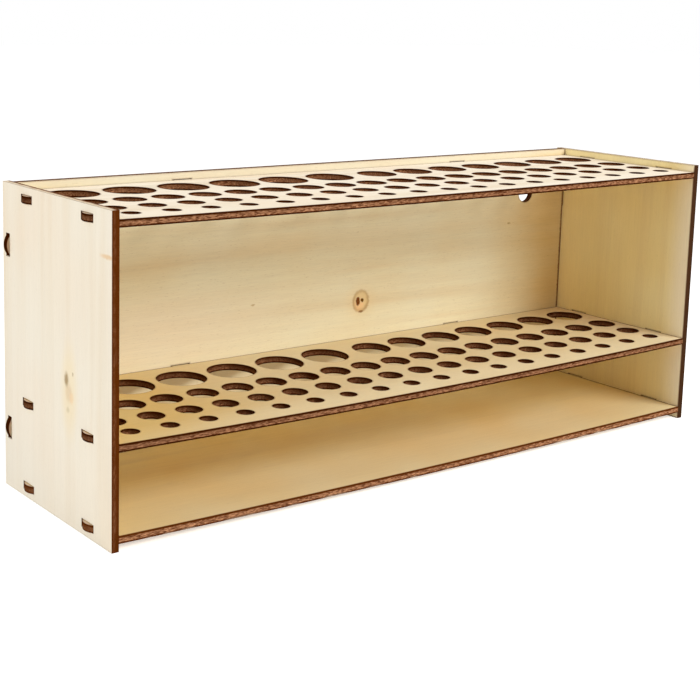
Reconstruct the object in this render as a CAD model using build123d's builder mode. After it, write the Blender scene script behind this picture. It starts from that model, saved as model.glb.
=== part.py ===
from build123d import *
import os

# A rack for bottles of paint, made of six plywood panels that plug into each other.
# Origin: the middle of the footprint, on the floor. X runs along the rack, the open
# front faces -Y, and Z is up. All lengths are in millimetres.

# Overall size
width = 533.0  # outer face of one side to outer face of the other
depth = 150.0  # front edge to rear edge of a side
height = 210.0  # floor to the top edges
sheet = 5.0  # thickness of the plywood

# Where the panels lie
bottom_lift = 5.0  # floor to the underside of the bottom shelf
middle_lift = 62.8  # floor to the underside of the middle shelf
rim_height = 5.6  # top edges of the rack above the face of the top shelf
back_inset = 5.0  # rear edges of the sides behind the back panel

# Tabs, and the slots that they plug into
tab_width = 15.0
nose_bulge = 2.1  # a tab's bowed end stands proud of the panel it goes through
nose_relief = 0.8  # the corners of that end stop short of the panel's outer face
tab_end_play = 0.25  # a slot is longer than its tab by this much at each end
slot_play = 0.4  # a slot is wider than the sheet by this much
front_tab_in = 31.0  # front edge to the middle of a shelf's front tab
rear_tab_in = 26.0  # back panel to the middle of a shelf's rear side tab
back_tab_in = 42.0  # top or bottom edge to the middle of the back panel's tab
shelf_tail_in = 133.5  # outer face of a side to the middle of a shelf's rear tab

# Bottle holes, from the back row to the front row
bottle_hole = 36.0  # left half of the back row
jar_hole = 30.0  # right half of the back row
dropper_hole = 22.0
pot_hole = 18.0
brush_hole = 12.0
bottle_web = 6.55  # wood left between two holes of a row
jar_web = 6.1
column_web = 6.67  # between two dropper holes, whose columns the front rows share
column_shift = 1.3  # middle of the columns, right of the rack's middle
bottle_end_web = 8.1  # left side to the first bottle hole
jar_end_web = 7.2  # right side to the last jar hole
column_end_web = 4.5  # least wood between a side and the nearest column
front_share = 1.67  # wood before the first row, in gaps between rows
rear_share = 1.38  # wood behind the last row, in gaps between rows

# Holes in the back panel to hang the rack by
hanging_hole = 16.0
hanging_in = 52.0  # outer face of a side to the middle of the hole
hanging_drop = 36.5  # top edge to the middle of the hole

# Faces that follow from the sizes above
side_face = width / 2
inner_width = width - 2 * sheet
inner_face = inner_width / 2
front_edge = -depth / 2
back_rear = depth / 2 - back_inset
back_front = back_rear - sheet
shelf_depth = back_front - front_edge
shelf_middle = (front_edge + back_front) / 2
top_lift = height - rim_height - sheet
shelf_lifts = (bottom_lift, middle_lift, top_lift)

# Middles of the tabs
front_tab = front_edge + front_tab_in
rear_tab = back_front - rear_tab_in
tail_offset = side_face - shelf_tail_in
back_tab_levels = (back_tab_in, height - back_tab_in)

# Middles of the rows of holes: the wood that the holes leave is shared out
row_holes = (brush_hole, pot_hole, dropper_hole, bottle_hole)
gap_shares = len(row_holes) - 1 + front_share + rear_share
row_gap = (shelf_depth - sum(row_holes)) / gap_shares
brush_row = front_edge + front_share * row_gap + brush_hole / 2
pot_row = brush_row + (brush_hole + pot_hole) / 2 + row_gap
dropper_row = pot_row + (pot_hole + dropper_hole) / 2 + row_gap
bottle_row = dropper_row + (dropper_hole + bottle_hole) / 2 + row_gap


def tab_profile():
    """A tab along +X from its root at the origin, with a bowed end past one sheet."""
    half = tab_width / 2
    corner = sheet - nose_relief
    with BuildSketch(mode=Mode.PRIVATE) as tab:
        with BuildLine():
            Polyline((corner, half), (0, half), (0, -half), (corner, -half))
            ThreePointArc((corner, -half), (sheet + nose_bulge, 0), (corner, half))
        make_face()
    return tab.sketch


tab = tab_profile()


def write(part, label):
    """Label a finished panel and write it."""
    part.label = label
    export_step(part, f"parts/{label}.step")


def holes_across(count, pitch, diameter, start_x, row, align=Align.CENTER):
    """Cut a row of round holes: centred on start_x, or from it to one side."""
    with Locations((start_x, row)):
        with GridLocations(pitch, pitch, count, 1, align=(align, Align.CENTER)):
            Circle(diameter / 2, mode=Mode.SUBTRACT)


def bottle_holes():
    """Cut the four rows of holes in a shelf's plan."""
    bottle_pitch = bottle_hole + bottle_web
    bottle_room = inner_face - bottle_end_web - bottle_hole
    bottle_count = int(bottle_room / bottle_pitch) + 1
    first_bottle = -inner_face + bottle_end_web + bottle_hole / 2
    holes_across(bottle_count, bottle_pitch, bottle_hole, first_bottle, bottle_row, Align.MIN)

    jar_pitch = jar_hole + jar_web
    jar_room = inner_face - jar_end_web - jar_hole
    jar_count = int(jar_room / jar_pitch) + 1
    last_jar = inner_face - jar_end_web - jar_hole / 2
    holes_across(jar_count, jar_pitch, jar_hole, last_jar, bottle_row, Align.MAX)

    column_pitch = dropper_hole + column_web
    column_room = inner_width - 2 * (column_end_web + column_shift) - dropper_hole
    column_count = int(column_room / column_pitch) + 1
    for diameter, row in (
        (dropper_hole, dropper_row),
        (pot_hole, pot_row),
        (brush_hole, brush_row),
    ):
        holes_across(column_count, column_pitch, diameter, column_shift, row)


def make_shelf(label, lift, holed):
    """A shelf: its plan with two tabs at each end and two at the rear, one sheet thick."""
    with BuildPart() as shelf:
        with BuildSketch(Plane.XY.offset(lift)):
            with Locations((0, shelf_middle)):
                Rectangle(inner_width, shelf_depth)
            for row in (front_tab, rear_tab):
                with Locations(Location((inner_face, row), 0), Location((-inner_face, row), 180)):
                    add(tab)
            with Locations(
                Location((-tail_offset, back_front), 90),
                Location((tail_offset, back_front), 90),
            ):
                add(tab)
            if holed:
                bottle_holes()
        extrude(amount=sheet)
    write(shelf.part, label)


def make_side(label, low_face):
    """A side: a plain rectangle with a slot for each tab of the shelves and the back."""
    with BuildPart() as side:
        with BuildSketch(Plane.YZ.offset(low_face)):
            with Locations((0, height / 2)):
                Rectangle(depth, height)
            for lift in shelf_lifts:
                with Locations((front_tab, lift), (rear_tab, lift)):
                    Rectangle(
                        tab_width + 2 * tab_end_play,
                        sheet + slot_play,
                        align=(Align.CENTER, Align.MIN),
                        mode=Mode.SUBTRACT,
                    )
            for level in back_tab_levels:
                with Locations(((back_front + back_rear) / 2, level)):
                    Rectangle(
                        sheet + slot_play,
                        tab_width + 2 * tab_end_play,
                        mode=Mode.SUBTRACT,
                    )
        extrude(amount=sheet)
    write(side.part, label)


def make_back():
    """The back: tabs at both ends, slots for the shelves' rear tabs, two hanging holes."""
    with BuildPart() as back:
        with BuildSketch(Plane.XZ.offset(-back_rear)):
            with Locations((0, height / 2)):
                Rectangle(inner_width, height)
            for level in back_tab_levels:
                with Locations(
                    Location((inner_face, level), 0), Location((-inner_face, level), 180)
                ):
                    add(tab)
            for lift in shelf_lifts:
                with Locations((-tail_offset, lift), (tail_offset, lift)):
                    Rectangle(
                        tab_width + 2 * tab_end_play,
                        sheet + slot_play,
                        align=(Align.CENTER, Align.MIN),
                        mode=Mode.SUBTRACT,
                    )
            hanging_x = side_face - hanging_in
            with Locations((-hanging_x, height - hanging_drop), (hanging_x, height - hanging_drop)):
                Circle(hanging_hole / 2, mode=Mode.SUBTRACT)
        extrude(amount=sheet)
    write(back.part, "back_panel")


os.makedirs("parts", exist_ok=True)
make_side("left_side", -side_face)
make_side("right_side", inner_face)
make_back()
make_shelf("top_shelf", top_lift, True)
make_shelf("middle_shelf", middle_lift, True)
make_shelf("bottom_shelf", bottom_lift, False)
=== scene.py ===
import math

import bpy
import numpy as np
from mathutils import Matrix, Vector
from mathutils.geometry import delaunay_2d_cdt


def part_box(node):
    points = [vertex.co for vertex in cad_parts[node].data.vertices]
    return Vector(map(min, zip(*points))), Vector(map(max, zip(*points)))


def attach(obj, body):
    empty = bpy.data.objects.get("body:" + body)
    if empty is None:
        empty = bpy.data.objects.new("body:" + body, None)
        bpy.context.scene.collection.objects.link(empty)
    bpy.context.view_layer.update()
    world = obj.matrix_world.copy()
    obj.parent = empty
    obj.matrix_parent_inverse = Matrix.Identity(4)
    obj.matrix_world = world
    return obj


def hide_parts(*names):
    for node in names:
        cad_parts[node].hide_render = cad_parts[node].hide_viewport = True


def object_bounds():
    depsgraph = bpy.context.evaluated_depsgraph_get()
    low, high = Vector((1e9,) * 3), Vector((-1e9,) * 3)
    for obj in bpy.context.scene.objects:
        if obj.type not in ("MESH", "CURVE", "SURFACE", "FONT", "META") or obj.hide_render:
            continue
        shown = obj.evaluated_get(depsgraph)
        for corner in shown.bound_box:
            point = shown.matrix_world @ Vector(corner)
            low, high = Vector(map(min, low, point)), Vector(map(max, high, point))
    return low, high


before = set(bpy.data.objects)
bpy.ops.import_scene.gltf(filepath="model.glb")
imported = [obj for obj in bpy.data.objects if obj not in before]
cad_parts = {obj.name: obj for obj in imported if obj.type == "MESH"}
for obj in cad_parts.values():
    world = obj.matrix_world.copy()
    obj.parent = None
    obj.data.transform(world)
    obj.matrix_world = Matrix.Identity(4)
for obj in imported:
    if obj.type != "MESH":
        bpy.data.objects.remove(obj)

bl_info = {
    "name": "Plywood bottle rack",
    "version": (1, 0, 0),
    "blender": (4, 5, 0),
    "location": "View3D > Sidebar > Bottle Rack",
    "description": "Dresses a plug-together plywood rack for paint bottles",
    "category": "Object",
}

CAD_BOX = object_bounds()
MM = 0.001
BODY = "root"

# Axes of the rack: along it, into it and up
X, Y, Z = 0, 1, 2

# Places are level when they differ by less than this, in metres, and corners of the solids that
# agree to so many decimals are one
LEVEL = 1e-6
WELD_DECIMALS = 7

# Turns, in degrees, of the steps of the rounded arris that sanding leaves, and the least turn
# between two faces that shows as a crease
ARRIS_TURNS = (0, 30, 60, 90)
SHARP_TURN = 12

# An outline with more corners than this, whose distances from its middle differ by less than
# this share, is a round hole
ROUND_CORNERS = 12
ROUND_ERROR = 0.01

# Material slots of a panel
VENEER, CUT_EDGE, CUT_HOLE = 0, 1, 2

# Smoke at the rim of a hole or slot, where an outer edge has 1, and the least on a tab
HOLE_SOOT = 0.4
TAB_SOOT = 0.08

# Share of that smoke which is left at the rack's top rim, kept low there as a painted highlight
# on the lit top, and at the rim of a tab
TOP_RIM_SOOT_AND_HIGHLIGHT = 0.35
TAB_RIM_SOOT = 0.3

# The photograph's camera, from a fit to the panels' edges and the rows of holes: its place in
# metres, its turns in radians from a level view along +Y, and its shift in widths of the frame
CAMERA_PLACE = (-0.65995, -0.79089, 0.33258)
CAMERA_ROLL = -0.0780
CAMERA_PITCH = 0.1439
CAMERA_YAW = -0.6441
CAMERA_SHIFT = (0.06421, -0.16963)

# Half the floor's width in metres, and the glow that makes it white to the camera and lights
# nothing
FLOOR_REACH = 8.0
PAPER_GLOW = 0.5


def linear(colour):
    """An sRGB hex colour, such as "#f3e6cf", as linear red, green and blue.

    The formula is that of the sRGB standard: a straight line near black, else a power of 2.4.
    """
    channels = np.array([int(colour[i:i + 2], 16) for i in (1, 3, 5)]) / 255
    low = channels / 12.92
    high = ((channels + 0.055) / 1.055) ** 2.4
    return tuple(float(v) for v in np.where(channels <= 0.04045, low, high))


def colour_property(name, description, colour):
    """A colour that a user can change."""
    return bpy.props.FloatVectorProperty(
        name=name, description=description, default=linear(colour),
        subtype="COLOR", size=3, min=0, max=1,
    )


def length_property(name, description, millimetres):
    """A length that a user can change, held in metres."""
    return bpy.props.FloatProperty(
        name=name, description=description, default=millimetres * MM, unit="LENGTH", precision=5,
    )


class RackSizes(bpy.types.PropertyGroup):
    """Sizes of the panels' finish that the solids leave out."""

    arris: length_property("Arris", "Rounding that sanding leaves along every cut edge", 0.15)
    soot_band: length_property("Soot band", "Width of the smoke stain beside a cut", 1.3)
    face_step: length_property("Face step", "Distance between corners inside a face", 14)
    edge_step: length_property("Edge step", "Longest stretch of an outline between corners", 9)
    top_sag: length_property("Top sag", "Drop of the top shelf's front at mid span", 1.1)
    middle_sag: length_property("Middle sag", "Drop of the middle shelf's front at mid span", 2.6)
    bottom_sag: length_property("Bottom sag", "Drop of the bottom shelf's front at mid span", 2.0)


class WoodColours(bpy.types.PropertyGroup):
    """Colours of the bare plywood and of its burnt edges."""

    # The outer and top veneers, on the faces in full light, are paler and greyer than those
    # inside and below the rack, which are deeper golden: partly the veneers' own tones, partly
    # painted light and shade, as lit and shaded copies of the same plywood
    outer: colour_property("Outer", "Best veneer, on the outside of the sides", "#f0e5d1")
    top: colour_property("Top", "Veneer of the top shelf", "#fdefd8")
    back: colour_property("Back", "Veneer of the back panel", "#eadeb9")
    middle: colour_property("Middle", "Veneer of the middle shelf", "#dcc99f")
    bottom: colour_property("Bottom", "Veneer of the bottom shelf", "#f6dc98")
    end: colour_property("End", "Second veneer of the sides, turned inwards", "#efda9c")
    under: colour_property("Under", "Second veneer of the shelves, turned down", "#efc984")
    band: colour_property("Band", "Darker summer growth", "#d9bc8c")
    fleck: colour_property("Fleck", "Short dark flecks along the grain", "#a98a5c")
    soot: colour_property("Soot", "Smoke stain beside a cut", "#6b360c")
    char: colour_property("Char", "Charred cuts of the back and the upper shelves", "#381400")
    scorch: colour_property("Scorch", "Charred cuts of the left side and bottom shelf", "#562807")
    coal: colour_property("Coal", "Charred cuts of the right side", "#402818")
    # Toast is a light real burn, and on the sides' top edges a painted highlight
    toast: colour_property("Toast", "Cuts that are barely burnt", "#ead8bc")
    core: colour_property("Core", "Browned middle ply of a cut", "#613720")
    ember: colour_property("Ember", "Lighter streaks of the middle ply", "#c89169")


class StudioSettings(bpy.types.PropertyGroup):
    """The light tent."""

    paper: colour_property("Paper", "Floor", "#f3f3f3")
    sky: bpy.props.FloatProperty(
        name="Sky", description="Light from the tent's walls", default=0.545, min=0,
    )
    key: bpy.props.FloatProperty(
        name="Key", description="Softbox high in front, to the right",
        subtype="POWER", default=40, min=0,
    )
    side: bpy.props.FloatProperty(
        name="Side", description="Softbox on the left", subtype="POWER", default=6.6, min=0,
    )
    lens: bpy.props.FloatProperty(
        name="Lens", description="Focal length on a 36 mm frame",
        subtype="DISTANCE_CAMERA", default=72.456,
    )


def outlines(name, across):
    """The closed outlines of a CAD panel's low face, in metres: outside first, then the holes.

    Corners that agree are welded, the triangles of the low face are kept, and an edge that one
    triangle uses alone lies on an outline, with the wood on its left. Stepping along the
    outlines with a stride that doubles gives every corner the lowest corner of its outline,
    then its number of steps from there, and these two numbers put the corners in order.
    """
    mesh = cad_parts[name].data
    mesh.calc_loop_triangles()
    corners = np.empty(len(mesh.vertices) * 3)
    mesh.vertices.foreach_get("co", corners)
    triangles = np.empty(len(mesh.loop_triangles) * 3, np.int32)
    mesh.loop_triangles.foreach_get("vertices", triangles)
    corners = np.round(corners.reshape(-1, 3), WELD_DECIMALS)
    corners, weld = np.unique(corners, axis=0, return_inverse=True)
    triangles = weld.ravel()[triangles].reshape(-1, 3)
    low = corners[:, across] < corners[:, across].min() + LEVEL
    triangles = triangles[low[triangles].all(axis=1)]
    flat = corners[:, [(across + 1) % 3, (across + 2) % 3]]

    # The low face looks down the axis across the sheet, so its triangles are turned round
    edges = np.concatenate([triangles[:, [(k + 1) % 3, k]] for k in range(3)])
    there = edges[:, 0] * len(flat) + edges[:, 1]
    back = edges[:, 1] * len(flat) + edges[:, 0]
    used, edges = np.unique(edges[~np.isin(there, back)], return_inverse=True)
    edges = edges.reshape(-1, 2)
    flat = flat[used]
    count = len(flat)
    following = np.empty(count, int)
    following[edges[:, 0]] = edges[:, 1]

    passes = count.bit_length()
    lowest, stride = np.arange(count), following
    for _ in range(passes):
        lowest = np.minimum(lowest, lowest[stride])
        stride = stride[stride]
    head = lowest == np.arange(count)
    steps = np.where(head, 0, 1)
    stride = np.where(head, np.arange(count), following)
    for _ in range(passes):
        steps = steps + steps[stride]
        stride = stride[stride]
    order = np.lexsort((-steps, lowest))
    starts = np.flatnonzero(np.diff(lowest[order])) + 1
    return sorted(np.split(flat[order], starts), key=lambda loop: -np.ptp(loop, axis=0).sum())


def resampled(loop, longest):
    """An outline whose straight stretches are cut into equal steps no longer than longest.

    A stretch gets its length divided by longest, rounded up, and each corner on it lies a whole
    number of those steps from its start.
    """
    run = np.roll(loop, -1, axis=0) - loop
    count = np.ceil(np.linalg.norm(run, axis=1) / longest).astype(int)
    part = np.arange(count.sum()) - np.repeat(np.cumsum(count) - count, count)
    share = (part / np.repeat(count, count))[:, None]
    return np.repeat(loop, count, axis=0) + np.repeat(run, count, axis=0) * share


def inset(loop, distance):
    """An outline moved into the wood.

    A corner moves along the sum of the normals of its two edges, divided by one plus their
    dot product, so that both edges move by the distance.
    """
    run = np.roll(loop, -1, axis=0) - loop
    run /= np.linalg.norm(run, axis=1)[:, None]
    after = np.stack([-run[:, 1], run[:, 0]], axis=1)
    before = np.roll(after, 1, axis=0)
    return loop + (before + after) / (1 + (before * after).sum(axis=1))[:, None] * distance


def is_round(loop):
    """Whether the corners of an outline lie on one circle, all as far from their middle."""
    reach = np.linalg.norm(loop - loop.mean(axis=0), axis=1)
    return len(loop) > ROUND_CORNERS and np.ptp(reach) < ROUND_ERROR * reach.mean()


def within(points, loop):
    """Which points lie inside an outline.

    A line from such a point along the first axis crosses the outline an odd number of times. It
    crosses an edge that spans the point's height and lies further along that axis.
    """
    (x1, y1), (x2, y2) = loop.T, np.roll(loop, -1, axis=0).T
    x, y = points[:, :1], points[:, 1:]
    left = (x2 - x1) * (y - y1) > (x - x1) * (y2 - y1)
    crossed = ((y1 > y) != (y2 > y)) & (left == (y2 > y1))
    return crossed.sum(axis=1) % 2 == 1


def face_points(loops, step):
    """Corners inside a face: a grid of equal steps over the box of its outlines.

    Those in a hole, or less than a quarter step from an outline, are left out.
    """
    rim = np.concatenate(loops)
    low, high = rim.min(axis=0), rim.max(axis=0)
    count = np.round((high - low) / step).astype(int)
    axes = [np.linspace(low[k], high[k], count[k] + 1) for k in (0, 1)]
    grid = np.stack(np.meshgrid(*axes), axis=-1).reshape(-1, 2)
    keep = within(grid, loops[0])
    keep &= np.linalg.norm(grid[:, None] - rim, axis=2).min(axis=1) > step / 4
    for hole in loops[1:]:
        keep &= ((grid < hole.min(axis=0)) | (grid > hole.max(axis=0))).any(axis=1)
    return grid[keep]


def face_fill(rims, bands, inside):
    """Corners and triangles of a face: a Delaunay fill of its rims, bands and corners inside.

    The fill also covers the hollows outside the first rim and the holes. A triangle in a hole
    has all three corners on that hole's rim.
    """
    sizes = [len(loop) for loop in (*rims, *bands)]
    first = np.repeat(np.cumsum(sizes) - sizes, sizes)
    here = np.arange(sum(sizes))
    after = first + (here - first + 1) % np.repeat(sizes, sizes)
    points = np.concatenate([*rims, *bands, inside])
    edges = np.stack([here, after], axis=1)
    corners, _, triangles, *_ = delaunay_2d_cdt(
        points.tolist(), edges.tolist(), [], 1, 10 ** -WELD_DECIMALS, False
    )
    if len(corners) != len(points):
        raise RuntimeError("two corners of a face lie on the same spot")
    triangles = np.array(triangles)
    rim_count = sum(sizes[:len(rims)])
    hole = np.zeros(len(points), int)
    hole[:rim_count] = np.repeat(np.arange(len(rims)), sizes[:len(rims)])
    hole = hole[triangles]
    keep = (hole[:, 0] == 0) | (np.ptp(hole, axis=1) > 0)
    keep &= within(points[triangles].mean(axis=1), rims[0])
    return points, triangles[keep], after[:rim_count]


def edge_profile(thickness, arris):
    """Section through a cut edge, as rows of inset and depth from the low face to the high one.

    Each arris is a quarter circle: inset r(1 - sin t) and depth r(1 - cos t).
    """
    turn = np.radians(ARRIS_TURNS)
    inward, down = arris * (1 - np.sin(turn)), arris * (1 - np.cos(turn))
    low = np.stack([inward, down], axis=1)
    high = np.stack([inward, thickness - down], axis=1)[::-1]
    return np.concatenate([low, high])


def on_tabs(corners, across):
    """Which corners lie on a tab: past the inner faces of the sides, or past the back's front.

    A side has no tabs, and the back has them at its ends only.
    """
    left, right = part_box("left_side")[1][X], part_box("right_side")[0][X]
    past_sides = (corners[:, X] < left - LEVEL) | (corners[:, X] > right + LEVEL)
    past_back = corners[:, Y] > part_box("back_panel")[0][Y] + LEVEL
    return (past_sides & (across != X)) | (past_back & (across == Z))


def panel_mesh(name, across):
    """A panel with sanded edges: its outlines carried across the sheet by the edge profile.

    The corners are the low face, the high face, and a ring of all outlines for each row of the
    profile between them. The two faces hold the same triangles, turned over on the low one.
    The attribute depth runs from 0 at the low face to 1 at the high one. The attribute soot is 1
    at the outer edge and HOLE_SOOT at a hole, times TOP_RIM_SOOT_AND_HIGHLIGHT at the rack's top, and falls to
    0 a soot band away. On a tab it is TAB_RIM_SOOT times that, and at least TAB_SOOT.
    """
    sizes = bpy.context.scene.rack_sizes
    low, high = np.array(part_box(name))
    thickness = high[across] - low[across]
    loops = [resampled(loop, sizes.edge_step) for loop in outlines(name, across)]
    rims = [inset(loop, sizes.arris) for loop in loops]
    bands = [inset(loop, sizes.soot_band) for loop in loops]
    inside = face_points(bands, sizes.face_step)
    face, triangles, after = face_fill(rims, bands, inside)
    profile = edge_profile(thickness, sizes.arris)[1:-1]
    rings = [np.concatenate([inset(loop, inward) for loop in loops]) for inward, _ in profile]

    def placed(points, depth):
        corners = np.empty((len(points), 3))
        corners[:, (across + 1) % 3], corners[:, (across + 2) % 3] = points.T
        corners[:, across] = low[across] + depth
        return corners

    rim_count = len(after)
    corners = [placed(face, 0), placed(face, thickness)]
    corners += [placed(ring, depth) for ring, (_, depth) in zip(rings, profile)]
    starts = [2 * len(face) + rim_count * k for k in range(len(rings))]
    starts = [0, *starts, len(face)]
    here = np.arange(rim_count)
    quads = np.concatenate([
        np.stack([one + here, one + after, two + after, two + here], axis=1)
        for one, two in zip(starts, starts[1:])
    ])
    faces = [*triangles[:, ::-1].tolist(), *(triangles + len(face)).tolist(), *quads.tolist()]

    cuts = [CUT_HOLE if is_round(loop) else CUT_EDGE for loop in loops]
    cuts = np.tile(np.repeat(cuts, [len(loop) for loop in loops]), len(starts) - 1)
    slots = np.concatenate([np.full(2 * len(triangles), VENEER), cuts])
    corners = np.concatenate(corners)
    tabs = on_tabs(corners, across)
    rim_soot = np.zeros(len(face))
    rim_soot[:rim_count] = HOLE_SOOT
    rim_soot[:len(rims[0])] = 1
    ring_depths = np.repeat(profile[:, 1] / thickness, rim_count)
    soot = np.concatenate([rim_soot, rim_soot, np.ones(len(ring_depths))])
    # Less smoke along the rack's top rim: a painted highlight where light falls on the top
    soot[corners[:, Z] > CAD_BOX[1][Z] - 2 * sizes.arris] *= TOP_RIM_SOOT_AND_HIGHLIGHT
    attributes = {
        "depth": np.concatenate([np.zeros(len(face)), np.ones(len(face)), ring_depths]),
        "soot": np.where(tabs, np.maximum(soot * TAB_RIM_SOOT, TAB_SOOT), soot),
    }
    mesh = bpy.data.meshes.new(name + "_panel")
    mesh.from_pydata(corners, [], faces)
    mesh.polygons.foreach_set("material_index", slots)
    for label, values in attributes.items():
        mesh.attributes.new(label, "FLOAT", "POINT").data.foreach_set("value", values)
    mesh.shade_smooth()
    mesh.set_sharp_from_angle(angle=math.radians(SHARP_TURN))
    return mesh


def sag(mesh, drop, power):
    """Lets a shelf sag between the sides by drop * 4u(1 - u) * (1 - v ** power).

    u runs from side to side, and v from the front edge to the back panel, which holds it up.
    """
    side_low, side_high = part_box("left_side")[1][X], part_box("right_side")[0][X]
    front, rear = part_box("left_side")[0][Y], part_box("back_panel")[0][Y]
    corners = np.empty(len(mesh.vertices) * 3)
    mesh.vertices.foreach_get("co", corners)
    corners = corners.reshape(-1, 3)
    u = np.clip((corners[:, X] - side_low) / (side_high - side_low), 0, 1)
    v = np.clip((corners[:, Y] - front) / (rear - front), 0, 1)
    corners[:, Z] -= drop * 4 * u * (1 - u) * (1 - v ** power)
    mesh.vertices.foreach_set("co", corners.ravel())
    mesh.update()


def node(tree, kind, inputs=None, stops=(), **settings):
    """Adds a node to a tree.

    inputs maps the name or number of an input to a value, a socket, or a node, whose first
    enabled output is then linked. stops are the positions and colours of a ramp.
    """
    made = tree.nodes.new(kind)
    for key, value in settings.items():
        setattr(made, key, value)
    for key, value in (inputs or {}).items():
        if isinstance(value, bpy.types.Node):
            value = next(socket for socket in value.outputs if socket.enabled)
        if isinstance(value, bpy.types.NodeSocket):
            tree.links.new(value, made.inputs[key])
        else:
            made.inputs[key].default_value = value
    for number, (position, colour) in enumerate(stops):
        elements = made.color_ramp.elements
        element = elements[number] if number < 2 else elements.new(position)
        element.position, element.color = position, (*colour, 1)
    return made


def new_material(name):
    """A material and its empty tree."""
    material = bpy.data.materials.new(name)
    material.use_nodes = True
    material.node_tree.nodes.clear()
    return material, material.node_tree


def wood_patterns(tree, place, axis, table):
    """The noise patterns of a table, by name.

    The place is divided by the size of a pattern's cells: their length along the axis, and
    their width across it.
    """
    patterns = {}
    for name, (length, width, detail, distortion) in table.items():
        scale = tuple(1 / ((length if k == axis else width) * MM) for k in (X, Y, Z))
        mapped = node(tree, "ShaderNodeMapping", {"Vector": place, "Scale": scale})
        patterns[name] = node(tree, "ShaderNodeTexNoise", {
            "Vector": mapped, "Scale": 1, "Detail": detail, "Distortion": distortion,
        }, label=name)
    return patterns


# Patterns of the wood: the length of their cells along the grain and the width across it in
# millimetres, their detail and their distortion. The real fibres and flecks, and the beam's
# grooves, are about 0.1 mm wide, and are drawn as coarse as they need to be to show
VENEER_PATTERNS = {
    "bands": (320, 17, 3, 0.5),
    "lines": (120, 2.6, 2, 0),
    "fibres": (16, 0.7, 3, 0),
    "flecks": (3.5, 0.45, 1, 0),
    "clouds": (70, 70, 1, 0),
    "ragged": (2.5, 2.5, 2, 0),
}
CUT_PATTERNS = {
    "streaks": (3, 0.45, 3, 0.4),
    "ragged": (4, 4, 2, 0),
    "patches": (14, 14, 1, 0),
}
BEAM_PATTERNS = {
    "grooves": (6, 0.6, 1, 0),
}

# Noise at which a band, a fleck or a streak starts, and at which it is full
BAND_RANGE = (0.42, 0.78)
FLECK_RANGE = (0.66, 0.78)
STREAK_RANGE = (0.4, 0.63)

# How much a band and a fleck cover where they are full
BAND_COVER = 0.42
FLECK_COVER = 0.25

# How far the patterns swing the brightness, the saturation and the hue, from the least noise to
# the most, around no change
LINE_SWING = 0.07
FIBRE_SWING = 0.13
GROOVE_SWING = 0.6
SATURATION_SWING = 0.4
HUE_SWING = -0.02

# The middle ply in shares of the sheet's thickness: where it starts, is full, fades and ends,
# and how far these lines swing
CORE_PLY = (0.18, 0.26, 0.72, 0.8)
PLY_SWING = 0.12

# How far the burn of a cut swings from patch to patch, and rises from the low face to the high
# one. Toast covers TOAST_SLOPE times the burn, plus TOAST_START
PATCH_SWING = 0.5
BURN_RISE = 0.5
TOAST_SLOPE = -3.6
TOAST_START = -0.4

# How far the outline of a mark swings, in millimetres
MARK_SWING = 1.8

# Marks in a face. Each has a name, its middle and its half size along the face's two axes in
# millimetres, its colour, its strength and its softness. Noses are the bowed ends of the tabs
# Painted light: the tabs' noses, shaded in their slots, lit up
PAINTED_LIGHT_NOSES = ("painted light on noses", (-268.6, -5.0), (2.1, 100.0), "#f4d8bc", 0.95, 0.1)
LEFT_MARKS = (
    # Painted light: the lower rear of the left side's outer face lit up
    ("painted light at foot", (75.0, 0.0), (110.0, 100.0), "#faf4e6", 0.4, 0.8),
    ("stained halo", (-20.0, 88.0), (9.0, 26.0), "#f3dfb8", 0.75, 0.6),
    ("pin knot's tail", (-19.5, 87.0), (4.0, 5.5), "#e6cba4", 0.8, 0.5),
    ("pin knot", (-16.3, 95.2), (2.5, 4.2), "#a08050", 0.85, 0.55),
    ("resin", (-23.0, 84.5), (2.6, 3.6), "#f2cfa2", 0.7, 0.5),
    ("pin", (-24.9, 100.2), (0.9, 1.2), "#b09468", 0.7, 0.5),
    ("lower pin", (-18.2, 75.8), (1.8, 1.8), "#d8c6a0", 0.7, 0.6),
    ("bark streak", (-70.0, 181.5), (8.0, 1.3), "#e4b472", 0.6, 0.6),
)
RIGHT_MARKS = (
    # Painted light: the front strip of the right side's inner face, by the opening, lit up
    ("painted light level at front", (-75.0, 105.0), (15.0, 150.0), "#f6ecd6", 0.7, 0.8),
    # Painted light: the rear of the right side's inner face, by the back, lit up in its shade
    ("painted light at rear", (72.0, 90.0), (32.0, 120.0), "#ffebae", 0.9, 0.7),
    # Painted light: the top strip of the right side's inner face lit up
    ("painted light level at rim", (35.0, 210.0), (90.0, 7.0), "#fff0ba", 0.85, 0.3),
)
TOP_MARKS = (PAINTED_LIGHT_NOSES,)
MIDDLE_MARKS = (
    # Painted shade: the left end of the middle shelf darker and golden in the left side's shade
    ("painted shade at end", (-262.0, -5.0), (100.0, 150.0), "#d4ae48", 0.55, 0.8),
    # Painted light: the front strip of the middle shelf lit up
    ("painted light level at front", (60.0, -75.0), (260.0, 30.0), "#e8d8b2", 0.9, 0.6),
    # Painted light: the right end of the middle shelf, by the right side, lit up
    ("painted light at end", (262.0, 5.0), (26.0, 60.0), "#f4e0c2", 0.75, 0.8),
    # Painted shade: a dark line in the joint with the right side
    ("painted joint shadow", (261.5, -5.0), (1.5, 100.0), "#6e4014", 0.3, 0.5),
    PAINTED_LIGHT_NOSES,
)
BOTTOM_MARKS = (
    # Painted light and shade: the front strip of the bottom shelf toned down against its paler
    # base, so that its shaded depth comes out brighter
    ("painted light level at front", (0.0, -60.0), (400.0, 65.0), "#dcc89c", 0.9, 0.9),
    # Painted light: the deep rear of the bottom shelf towards the right lit up in its shade
    ("painted light in corner", (230.0, 42.0), (190.0, 42.0), "#ffe9a8", 0.8, 0.8),
    # Painted shade: a dark line in the joint with the right side
    ("painted joint shadow", (261.5, -5.0), (2.2, 100.0), "#6e4014", 0.5, 0.5),
    PAINTED_LIGHT_NOSES,
)
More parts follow.
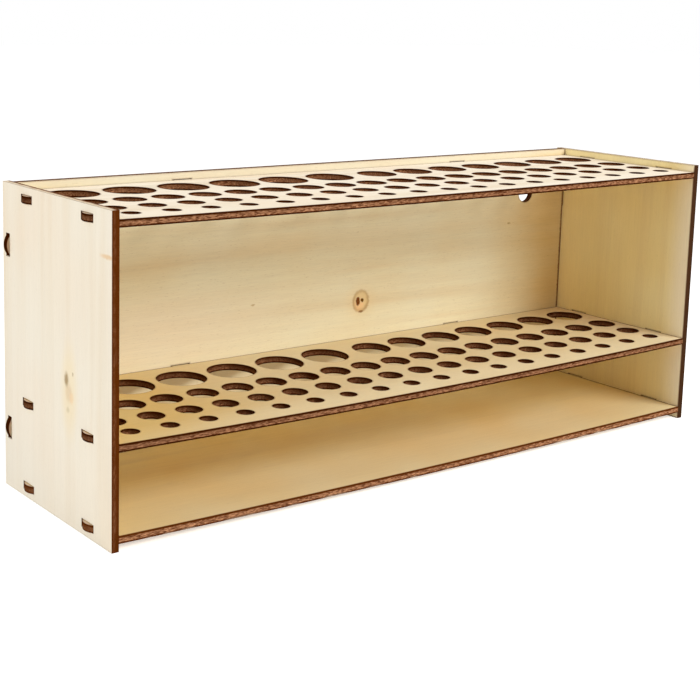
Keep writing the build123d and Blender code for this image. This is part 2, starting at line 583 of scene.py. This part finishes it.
BACK_MARKS = (
    # Painted shade: the right end of the back darker and golden in the shade of the right side
    # and the corner
    ("painted shade at end", (262.0, 140.0), (62.0, 95.0), "#d8b062", 0.65, 0.75),
    # Painted light: the lower left of the back, just above the middle shelf, lit up
    ("painted light at end", (-190.0, 92.0), (120.0, 28.0), "#f4e8d0", 0.5, 0.8),
    # Painted light level: the strip along the back's top, above the top shelf, toned a little
    # darker and greyer
    ("painted light level at rim", (0.0, 210.0), (300.0, 7.0), "#e2d6ba", 0.9, 0.3),
    ("smoky noses", (-268.6, 105.0), (2.1, 130.0), "#b8947a", 0.8, 0.1),
    # Painted shade: a dark line in the joint with the right side
    ("painted joint shadow", (261.5, 105.0), (1.8, 130.0), "#6e4014", 0.85, 0.5),
    ("knot's halo", (35.0, 97.5), (13.0, 12.0), "#e6cb98", 0.45, 0.6),
    ("knot's ring", (34.9, 97.4), (8.3, 9.1), "#ab8048", 0.75, 0.15),
    ("knot", (35.0, 98.0), (6.4, 7.2), "#e6cc96", 0.9, 0.3),
    ("knot's sapwood", (33.5, 94.5), (4.5, 5.0), "#f2c690", 0.6, 0.5),
    ("knot's heart", (32.0, 97.5), (2.0, 3.4), "#703800", 1.0, 0.25),
    ("knot's eye", (36.4, 98.0), (1.45, 1.55), "#684004", 1.0, 0.3),
    ("knot's point", (35.2, 88.9), (2.2, 0.9), "#7a5020", 0.8, 0.4),
    ("speck", (-69.5, 105.7), (1.8, 0.7), "#b99a62", 0.7, 0.6),
    ("speck", (196.3, 148.4), (1.8, 0.8), "#a98a58", 0.7, 0.6),
)


def marked(tree, colour, place, ragged, face, across, marks):
    """A veneer colour with its knots and specks, and with painted light and shade: pale stretches
    where light falls, and amber, darker ends and dark lines in the joints where shade falls.

    face is 1 on the marked face and 0 on the other. Each mark fills an ellipse with a ragged
    outline: the distance from its middle, in its half sizes, fades it out around 1.
    """
    shifted = node(tree, "ShaderNodeVectorMath", {
        0: ragged.outputs["Color"], 1: (MARK_SWING * MM,) * 3, 2: place,
    }, operation="MULTIPLY_ADD")
    axes = [k for k in (X, Y, Z) if k != across]
    for name, middle, reach, shade, strength, softness in marks:
        scale, moved = np.zeros(3), np.zeros(3)
        scale[axes] = 1 / (np.array(reach) * MM)
        moved[axes] = -(np.array(middle) + MARK_SWING / 2) / reach
        local = node(tree, "ShaderNodeMapping", {
            "Vector": shifted, "Location": tuple(moved), "Scale": tuple(scale),
        }, label=name)
        distance = node(tree, "ShaderNodeVectorMath", {0: local}, operation="LENGTH")
        cover = node(tree, "ShaderNodeMapRange", {
            "Value": distance, "From Min": 1 - softness, "From Max": 1 + softness,
            "To Min": strength, "To Max": 0,
        }, interpolation_type="SMOOTHSTEP")
        cover = node(tree, "ShaderNodeMath", {0: cover, 1: face}, operation="MULTIPLY")
        colour = node(tree, "ShaderNodeMix", {
            "Factor": cover, "A": colour, "B": (*linear(shade), 1),
        }, data_type="RGBA")
    return colour


def basswood_veneer(name, across, grain, low, high, smoke, figure, marks):
    """Basswood plywood, rotary cut and sanded.

    To the eye it is pale and matt: broad soft bands and fine fibres run along the grain, with
    short flecks, faint clouds of pink and yellow, and smoke stain beside the laser's cuts.
    The marks, knots and specks with painted light and shade among them, lie on the face that
    shows from the front: the high one of a shelf, else the low.
    """
    wood = bpy.context.scene.wood_colours
    material, tree = new_material(name)
    place = node(tree, "ShaderNodeTexCoord").outputs["Object"]
    depth = node(tree, "ShaderNodeAttribute", attribute_name="depth").outputs["Fac"]
    soot = node(tree, "ShaderNodeAttribute", attribute_name="soot").outputs["Fac"]
    pattern = wood_patterns(tree, place, grain, VENEER_PATTERNS)

    colour = node(tree, "ShaderNodeMix", {
        "Factor": depth, "A": (*low, 1), "B": (*high, 1),
    }, data_type="RGBA")
    band = node(tree, "ShaderNodeMapRange", {
        "Value": pattern["bands"], "From Min": BAND_RANGE[0], "From Max": BAND_RANGE[1],
        "To Min": 0, "To Max": BAND_COVER * figure,
    })
    colour = node(tree, "ShaderNodeMix", {
        "Factor": band, "A": colour, "B": (*wood.band, 1),
    }, data_type="RGBA")
    face = depth
    if across != Z:
        face = node(tree, "ShaderNodeMath", {0: 1, 1: depth}, operation="SUBTRACT")
    colour = marked(tree, colour, place, pattern["ragged"], face, across, marks)

    value = node(tree, "ShaderNodeMath", {
        0: pattern["lines"], 1: LINE_SWING * figure,
        2: 1 - (LINE_SWING + FIBRE_SWING) / 2 * figure,
    }, operation="MULTIPLY_ADD")
    value = node(tree, "ShaderNodeMath", {
        0: pattern["fibres"], 1: FIBRE_SWING * figure, 2: value,
    }, operation="MULTIPLY_ADD")
    saturation = node(tree, "ShaderNodeMath", {
        0: pattern["clouds"], 1: SATURATION_SWING, 2: 1 - SATURATION_SWING / 2,
    }, operation="MULTIPLY_ADD")
    hue = node(tree, "ShaderNodeMath", {
        0: pattern["clouds"], 1: HUE_SWING, 2: 0.5 - HUE_SWING / 2,
    }, operation="MULTIPLY_ADD")
    colour = node(tree, "ShaderNodeHueSaturation", {
        "Hue": hue, "Saturation": saturation, "Value": value, "Color": colour,
    })

    fleck = node(tree, "ShaderNodeMapRange", {
        "Value": pattern["flecks"], "From Min": FLECK_RANGE[0], "From Max": FLECK_RANGE[1],
        "To Min": 0, "To Max": FLECK_COVER * figure,
    })
    stain = node(tree, "ShaderNodeMath", {
        0: depth, 1: smoke[1] - smoke[0], 2: smoke[0],
    }, operation="MULTIPLY_ADD")
    stain = node(tree, "ShaderNodeMath", {0: soot, 1: stain}, operation="MULTIPLY")
    for cover, shade in ((fleck, wood.fleck), (stain, wood.soot)):
        colour = node(tree, "ShaderNodeMix", {
            "Factor": cover, "A": colour, "B": (*shade, 1),
        }, data_type="RGBA")

    grainy = node(tree, "ShaderNodeBump", {
        "Strength": 0.25, "Distance": 0.05 * MM, "Height": pattern["fibres"],
    })
    surface = node(tree, "ShaderNodeBsdfPrincipled", {
        "Base Color": colour, "Roughness": 0.62, "Specular IOR Level": 0.15, "Normal": grainy,
    })
    node(tree, "ShaderNodeOutputMaterial", {"Surface": surface})
    return material


def laser_cut_edge(name, across, grain, char, burn):
    """The edge of three-ply basswood, cut by a laser.

    To the eye it is dark and dull: two charred face plies with a browned middle ply between
    them, streaked along the grain and finely grooved across the sheet by the beam. burn is how
    burnt it is where it runs along the grain, and where it shows the grain's end: 0 is browned,
    1 is charred, and -0.6 is barely toasted. It rises from the low face to the high one.
    """
    wood = bpy.context.scene.wood_colours
    material, tree = new_material(name)
    object_space = node(tree, "ShaderNodeTexCoord").outputs
    depth = node(tree, "ShaderNodeAttribute", attribute_name="depth").outputs["Fac"]
    pattern = wood_patterns(tree, object_space["Object"], grain, CUT_PATTERNS)
    pattern |= wood_patterns(tree, object_space["Object"], across, BEAM_PATTERNS)

    grain_way = tuple(float(k == grain) for k in (X, Y, Z))
    end_grain = node(tree, "ShaderNodeVectorMath", {
        0: object_space["Normal"], 1: grain_way,
    }, operation="DOT_PRODUCT")
    end_grain = node(tree, "ShaderNodeMath", {0: end_grain}, operation="ABSOLUTE")
    burnt = node(tree, "ShaderNodeMath", {
        0: end_grain, 1: burn[1] - burn[0], 2: burn[0] - (PATCH_SWING + BURN_RISE) / 2,
    }, operation="MULTIPLY_ADD")
    for share, swing in ((pattern["patches"], PATCH_SWING), (depth, BURN_RISE)):
        burnt = node(tree, "ShaderNodeMath", {
            0: share, 1: swing, 2: burnt,
        }, operation="MULTIPLY_ADD")
    toasted = node(tree, "ShaderNodeMath", {
        0: burnt, 1: TOAST_SLOPE, 2: TOAST_START,
    }, operation="MULTIPLY_ADD")

    waving = node(tree, "ShaderNodeMath", {
        0: pattern["ragged"], 1: PLY_SWING, 2: -PLY_SWING / 2,
    }, operation="MULTIPLY_ADD")
    waving = node(tree, "ShaderNodeMath", {0: depth, 1: waving}, operation="ADD")
    dark, light = (0, 0, 0), (1, 1, 1)
    middle = node(tree, "ShaderNodeValToRGB", {"Fac": waving}, stops=(
        (0.0, dark), (1.0, dark), *zip(CORE_PLY, (dark, light, light, dark)),
    ))
    streaked = node(tree, "ShaderNodeMapRange", {
        "Value": pattern["streaks"], "From Min": STREAK_RANGE[0], "From Max": STREAK_RANGE[1],
    })
    colour = (*wood.core, 1)
    for cover, shade in ((streaked, wood.ember), (burnt, char)):
        colour = node(tree, "ShaderNodeMix", {
            "Factor": cover, "A": colour, "B": (*shade, 1),
        }, data_type="RGBA")
    colour = node(tree, "ShaderNodeMix", {
        "Factor": middle, "A": (*char, 1), "B": colour,
    }, data_type="RGBA")
    colour = node(tree, "ShaderNodeMix", {
        "Factor": toasted, "A": colour, "B": (*wood.toast, 1),
    }, data_type="RGBA")
    value = node(tree, "ShaderNodeMath", {
        0: pattern["grooves"], 1: GROOVE_SWING, 2: 1 - GROOVE_SWING / 2,
    }, operation="MULTIPLY_ADD")
    colour = node(tree, "ShaderNodeHueSaturation", {"Value": value, "Color": colour})

    grooved = node(tree, "ShaderNodeBump", {
        "Strength": 0.5, "Distance": 0.1 * MM, "Height": pattern["grooves"],
    })
    surface = node(tree, "ShaderNodeBsdfPrincipled", {
        "Base Color": colour, "Roughness": 0.9, "Specular IOR Level": 0, "Normal": grooved,
    })
    node(tree, "ShaderNodeOutputMaterial", {"Surface": surface})
    return material


def seen_rays(tree):
    """1 for what the camera sees, also by reflection or through glass, and 0 for other light."""
    path = node(tree, "ShaderNodeLightPath")
    seen = node(tree, "ShaderNodeMath", {
        0: path.outputs["Is Camera Ray"], 1: path.outputs["Is Glossy Ray"],
    }, operation="MAXIMUM")
    return node(tree, "ShaderNodeMath", {
        0: seen, 1: path.outputs["Is Transmission Ray"],
    }, operation="MAXIMUM")


def white_paper(name, colour):
    """White paper, uncoated: it is matt, and shows the eye only the rack's soft shadow."""
    material, tree = new_material(name)
    glow = node(tree, "ShaderNodeMath", {
        0: seen_rays(tree), 1: PAPER_GLOW,
    }, operation="MULTIPLY")
    surface = node(tree, "ShaderNodeBsdfPrincipled", {
        "Base Color": (*colour, 1), "Roughness": 0.95, "Specular IOR Level": 0.1,
        "Emission Color": (1, 1, 1, 1), "Emission Strength": glow,
    })
    node(tree, "ShaderNodeOutputMaterial", {"Surface": surface})
    return material


def dress_panel(name, across, grain, low, high, smoke, figure, marks, char, burn, bore=None):
    """Makes the panel that stands for a CAD node, with its veneer and cut edges.

    low and high are the colours of its two faces, smoke how much of the laser's smoke is left
    on them, and figure how much their grain stands out. char is the colour of burnt wood, burn
    how burnt the straight edges are along the grain and at its ends, and bore the same of the
    round holes, if the panel has any. A hole's wall is burnt deeper along the grain than a
    straight edge, partly as painted shade inside the hole.
    """
    mesh = panel_mesh(name, across)
    mesh.materials.append(basswood_veneer(
        f"basswood_veneer_{name}", across, grain, low, high, smoke, figure, marks
    ))
    mesh.materials.append(laser_cut_edge(f"laser_cut_edge_{name}", across, grain, char, burn))
    if bore:
        mesh.materials.append(laser_cut_edge(f"laser_cut_hole_{name}", across, grain, char, bore))
    panel = bpy.data.objects.new(f"{name}_panel", mesh)
    bpy.context.scene.collection.objects.link(panel)
    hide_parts(name)
    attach(panel, BODY)
    return panel


def camera_matrix():
    """The camera's place and turns: roll, then pitch, then yaw, from a level view along +Y."""
    c, s = np.cos(CAMERA_ROLL), np.sin(CAMERA_ROLL)
    roll = np.array([[c, -s, 0], [s, c, 0], [0, 0, 1]])
    c, s = np.cos(CAMERA_PITCH), np.sin(CAMERA_PITCH)
    pitch = np.array([[1, 0, 0], [0, c, -s], [0, s, c]])
    c, s = np.cos(CAMERA_YAW), np.sin(CAMERA_YAW)
    yaw = np.array([[c, 0, s], [0, 1, 0], [-s, 0, c]])
    level = np.array([[1, 0, 0], [0, 0, -1], [0, 1, 0]])
    turned = np.diag([1, -1, -1]) @ yaw @ pitch @ roll @ level
    matrix = Matrix(turned.T.tolist()).to_4x4()
    matrix.translation = CAMERA_PLACE
    return matrix


def add_softbox(name, place, aim, size, power):
    """An area light at a place, turned to shine at a point."""
    light = bpy.data.lights.new(name, "AREA")
    light.shape = "RECTANGLE"
    light.size, light.size_y = size
    light.energy = power
    lamp = bpy.data.objects.new(name, light)
    toward = np.array(aim) - np.array(place)
    flat = math.hypot(toward[X], toward[Y])
    lamp.rotation_euler = (math.atan2(flat, -toward[Z]), 0, math.atan2(-toward[X], toward[Y]))
    lamp.location = place
    bpy.context.scene.collection.objects.link(lamp)


class RACK_OT_make_sides(bpy.types.Operator):
    """Makes the two end panels, with upright grain"""

    bl_idname = "rack.make_sides"
    bl_label = "Make sides"

    def execute(self, context):
        wood = context.scene.wood_colours
        # The burn below 0 at the grain's end toasts part of each side's top edge pale: a painted
        # highlight where light falls along the top
        dress_panel(
            "left_side", across=X, grain=Z, low=wood.outer, high=wood.end, smoke=(0.1, 1),
            figure=0.6, marks=LEFT_MARKS, char=wood.scorch, burn=(0.95, -0.27),
        )
        dress_panel(
            "right_side", across=X, grain=Z, low=wood.end, high=wood.outer, smoke=(1, 0.1),
            figure=0.9, marks=RIGHT_MARKS, char=wood.coal, burn=(1.2, -0.3),
        )
        return {"FINISHED"}


class RACK_OT_make_back(bpy.types.Operator):
    """Makes the back panel, with grain along the rack and a knot"""

    bl_idname = "rack.make_back"
    bl_label = "Make back"

    def execute(self, context):
        wood = context.scene.wood_colours
        # The holes burn deeper than the straight edges along the grain: partly real char, partly
        # painted shade inside the holes
        dress_panel(
            "back_panel", across=Y, grain=X, low=wood.back, high=wood.outer, smoke=(1.2, 0.4),
            figure=1.2, marks=BACK_MARKS, char=wood.char, burn=(0.3, 1.2), bore=(0.7, 0.9),
        )
        return {"FINISHED"}


class RACK_OT_make_shelves(bpy.types.Operator):
    """Makes the three shelves, with grain along the rack and a slight sag"""

    bl_idname = "rack.make_shelves"
    bl_label = "Make shelves"

    def execute(self, context):
        wood, sizes = context.scene.wood_colours, context.scene.rack_sizes
        # The bores burn deeper than the straight edges along the grain: partly real char, partly
        # painted shade inside the holes
        for name, top, marks, char, burn, bore, drop, power in (
            ("top_shelf", wood.top, TOP_MARKS, wood.char, (0.31, 0.7), (0.45, 0.6),
             sizes.top_sag, 4),
            ("middle_shelf", wood.middle, MIDDLE_MARKS, wood.char, (0.38, 0.7), (0.65, 0.8),
             sizes.middle_sag, 2),
            ("bottom_shelf", wood.bottom, BOTTOM_MARKS, wood.scorch, (0.1, 0.7), None,
             sizes.bottom_sag, 2),
        ):
            shelf = dress_panel(
                name, across=Z, grain=X, low=wood.under, high=top, smoke=(0.6, 1.2),
                figure=1, marks=marks, char=char, burn=burn, bore=bore,
            )
            sag(shelf.data, drop, power)
        return {"FINISHED"}


class RACK_OT_make_stage(bpy.types.Operator):
    """Makes the floor, the light tent and the camera"""

    bl_idname = "rack.make_stage"
    bl_label = "Make stage"

    def execute(self, context):
        scene, studio = context.scene, context.scene.studio_settings
        mesh = bpy.data.meshes.new("floor")
        corners = [(-1, -1, 0), (1, -1, 0), (1, 1, 0), (-1, 1, 0)]
        mesh.from_pydata(np.array(corners) * FLOOR_REACH, [], [(0, 1, 2, 3)])
        mesh.materials.append(white_paper("white_paper", studio.paper))
        floor = bpy.data.objects.new("floor", mesh)
        scene.collection.objects.link(floor)

        scene.world = bpy.data.worlds.new("light_tent")
        scene.world.use_nodes = True
        tree = scene.world.node_tree
        tree.nodes.clear()
        level = node(tree, "ShaderNodeMapRange", {
            "Value": seen_rays(tree), "To Min": studio.sky, "To Max": 1,
        })
        tent = node(tree, "ShaderNodeBackground", {"Color": (1, 1, 1, 1), "Strength": level})
        node(tree, "ShaderNodeOutputWorld", {"Surface": tent})
        add_softbox(
            "key", place=(0.99, -1.73, 1.28), aim=(0, 0, 0.1), size=(1.3, 0.75),
            power=studio.key,
        )
        add_softbox(
            "side", place=(-1.45, 0.12, 0.65), aim=(-0.27, 0, 0.1), size=(1.0, 0.8),
            power=studio.side,
        )

        lens = bpy.data.cameras.new("camera")
        lens.lens = studio.lens
        lens.shift_x, lens.shift_y = CAMERA_SHIFT
        camera = bpy.data.objects.new("camera", lens)
        camera.matrix_world = camera_matrix()
        scene.collection.objects.link(camera)
        scene.camera = camera
        scene.view_settings.view_transform = "Standard"
        return {"FINISHED"}


class RACK_PT_panel(bpy.types.Panel):
    """Lists the steps with their sizes and colours"""

    bl_label = "Plywood bottle rack"
    bl_space_type = "VIEW_3D"
    bl_region_type = "UI"
    bl_category = "Bottle Rack"

    def draw(self, context):
        for operator in OPERATORS:
            self.layout.operator(operator.bl_idname)
        for attribute, group in GROUPS.items():
            for name in group.__annotations__:
                self.layout.prop(getattr(context.scene, attribute), name)


OPERATORS = (RACK_OT_make_sides, RACK_OT_make_back, RACK_OT_make_shelves, RACK_OT_make_stage)
GROUPS = {
    "rack_sizes": RackSizes,
    "wood_colours": WoodColours,
    "studio_settings": StudioSettings,
}
CLASSES = (*GROUPS.values(), *OPERATORS, RACK_PT_panel)


def register():
    """Adds the classes and the scene's settings."""
    for cls in CLASSES:
        bpy.utils.register_class(cls)
    for attribute, group in GROUPS.items():
        setattr(bpy.types.Scene, attribute, bpy.props.PointerProperty(type=group))


def unregister():
    """Takes them out again."""
    for attribute in GROUPS:
        delattr(bpy.types.Scene, attribute)
    for cls in reversed(CLASSES):
        bpy.utils.unregister_class(cls)


def main():
    """Makes the rack and its stage."""
    register()
    bpy.ops.rack.make_sides()
    bpy.ops.rack.make_back()
    bpy.ops.rack.make_shelves()
    bpy.ops.rack.make_stage()


if __name__ == "__main__":
    main()
